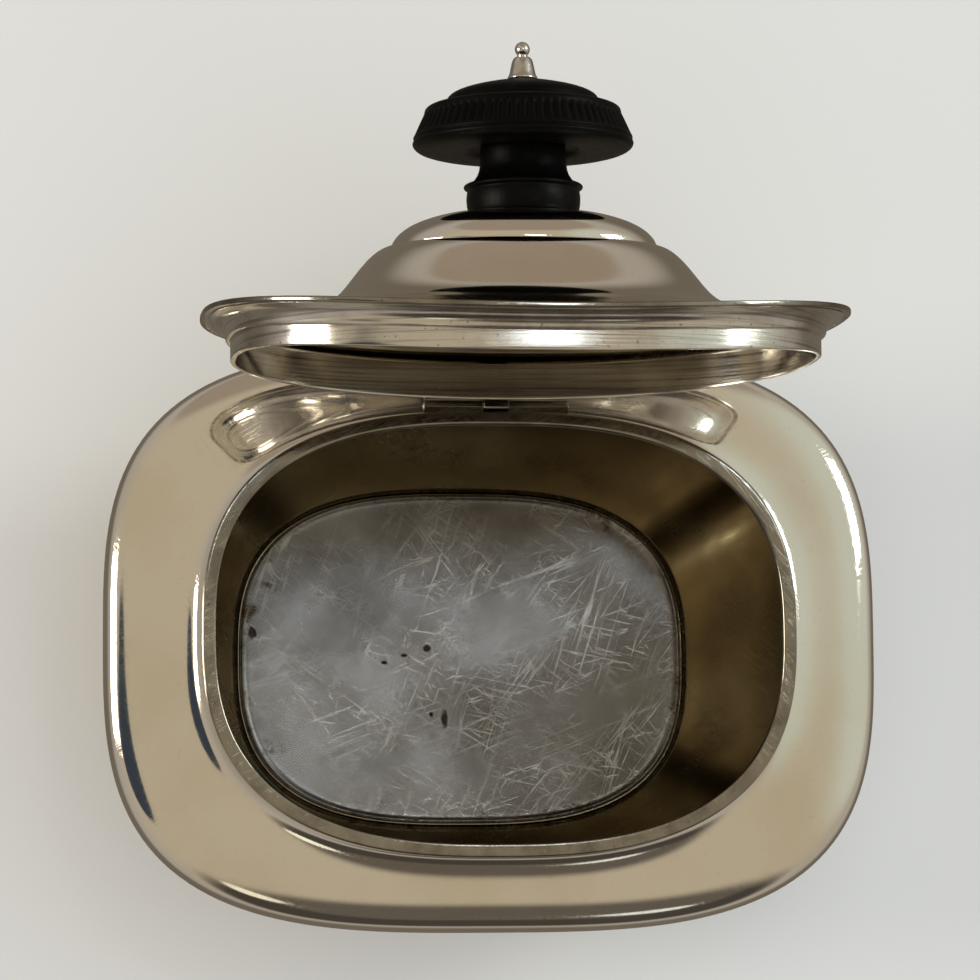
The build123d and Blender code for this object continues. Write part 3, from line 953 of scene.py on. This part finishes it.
def makeNut():
    # a hexagon whose corners are turned off at both faces
    flats, thick, low = knob["nut"]
    half = flats / 2
    rings = [
        (half - 0.1, 0.0), (half + 0.15, 0.06), (half + 0.5, 0.3), (half + 0.5, thick - 0.3),
        (half + 0.15, thick - 0.06), (half - 0.1, thick), (1.1, thick), (0.92, thick - 0.2),
        (0.92, 0.2), (1.1, 0.0),
    ]
    around = 72
    verts = []
    for radius, height in rings:
        for step in range(around):
            turn = 2 * pi * step / around
            flat = half / cos((turn % (pi / 3)) - pi / 6)
            reach = min(radius, flat)
            verts.append((reach * cos(turn) * mm, reach * sin(turn) * mm, (low + height) * mm))
    faces = []
    for ring in range(len(rings)):
        nextRing = (ring + 1) % len(rings)
        for step in range(around):
            after = (step + 1) % around
            here, there = ring * around, nextRing * around
            faces.append((here + step, here + after, there + after, there + step))
    mesh = bpy.data.meshes.new("knobNut")
    mesh.from_pydata(verts, [], faces)
    mesh.materials.append(fittingSilver)
    nut = finishPiece("knobNut", mesh, lidPlace)
    nut.data.set_sharp_from_angle(angle=radians(30))
    return nut


settle(makeNut(), "lid", "silver", "knob_nut")

studio = {
    "floorSize": 3.0,
    "floorColor": (0.72, 0.72, 0.72),
    "floorPaler": (0.78, 0.78, 0.785),
    "worldStrength": 1.0,
    "below": (0.16, 0.135, 0.105),
    "horizon": (0.40, 0.36, 0.31),
    "overhead": (0.47, 0.40, 0.29),
    # direction, how wide it is in degrees, how soft its edge is, and its colour
    "panels": (
        ((0.00, 0.90, 0.45), 26, 9, (0.31, 0.25, 0.19)),
        ((0.80, 0.25, 0.60), 18, 20, (0.55, 0.56, 0.47)),
        ((0.10, -0.85, 0.50), 24, 12, (0.06, 0.052, 0.042)),
        ((0.14, -0.62, 0.78), 12, 8, (0.12, 0.10, 0.08)),
        ((-0.18, -0.62, 0.76), 4, 2, (1.00, 0.95, 0.74)),
        ((0.25, -0.70, 0.67), 3, 2, (0.80, 0.80, 0.74)),
        ((-0.62, -0.12, 0.78), 12, 2, (0.04, 0.048, 0.062)),
    ),
}
bpy.ops.mesh.primitive_plane_add(size=studio["floorSize"])
ground = bpy.context.object
ground.name = "studioFloor"
groundMaterial, groundTree, groundShader = startMaterial("paleFloor", studio["floorColor"], 0.0, 0.9)
groundTone = blendColors(
    groundTree, cloud(groundTree, 300.0, 2.0), studio["floorColor"], studio["floorPaler"]
)
groundTree.links.new(groundTone, groundShader.inputs["Base Color"])
ground.data.materials.append(groundMaterial)
# the silver mirrors a dim room, not the pale table
ground.visible_glossy = False

world = bpy.data.worlds.new("softStudio")
bpy.context.scene.world = world
world.use_nodes = True
sky = world.node_tree
background = sky.nodes["Background"]
heading = addNode(sky, "ShaderNodeTexCoord").outputs["Generated"]
height = addNode(sky, "ShaderNodeSeparateXYZ", {0: heading}).outputs["Z"]
skyColor = blendColors(sky, spread(sky, height, -0.5, 0.0), studio["below"], studio["horizon"])
skyColor = blendColors(sky, spread(sky, height, 0.0, 0.9), skyColor, studio["overhead"])
for direction, width, softness, color in studio["panels"]:
    toward = Vector(direction).normalized()
    facing = addNode(sky, "ShaderNodeVectorMath", {0: heading, 1: toward}, operation="DOT_PRODUCT")
    lit = spread(sky, facing.outputs["Value"], cos(radians(width + softness)), cos(radians(width)))
    skyColor = blendColors(sky, lit, skyColor, color)
sky.links.new(skyColor, background.inputs["Color"])
background.inputs["Strength"].default_value = studio["worldStrength"]

# place, width and height, power and colour
lamps = {
    "leftWindow": ((-1.0, 0.05, 0.45), (0.30, 0.45), 5.0, (1.0, 0.93, 0.80)),
    "rightWindow": ((1.3, 0.5, 0.9), (0.5, 0.5), 6.0, (0.95, 1.0, 0.97)),
    "overheadCool": ((0.13, 0.22, 1.2), (0.12, 0.07), 0.25, (0.80, 0.90, 1.0)),
    "tableFill": ((0.5, -0.2, 2.2), (3.0, 3.0), 34.0, (0.78, 0.88, 1.0)),
}
for name, (at, size, power, color) in lamps.items():
    light = bpy.data.lights.new(name, "AREA")
    light.shape = "RECTANGLE"
    light.size, light.size_y = size
    light.energy = power
    light.color = color
    holder = bpy.data.objects.new(name, light)
    holder.location = at
    holder.rotation_euler = (Vector((0, 0, 0.05)) - holder.location).to_track_quat("-Z", "Y").to_euler()
    # the fill only brightens the table; the silver doesn't mirror it
    holder.visible_glossy = name != "tableFill"
    bpy.context.scene.collection.objects.link(holder)

camera = {"at": (-0.1009, -0.0661, 0.8754), "turn": (0.1126, -0.1207, -0.0086), "lens": 169.5}
eye = bpy.data.cameras.new("viewer")
eye.lens = camera["lens"]
eye.sensor_width = 36.0
viewer = bpy.data.objects.new("viewer", eye)
viewer.location = camera["at"]
viewer.rotation_euler = camera["turn"]
bpy.context.scene.collection.objects.link(viewer)
bpy.context.scene.camera = viewer
bpy.context.scene.view_settings.view_transform = "Standard"
print("studio built")
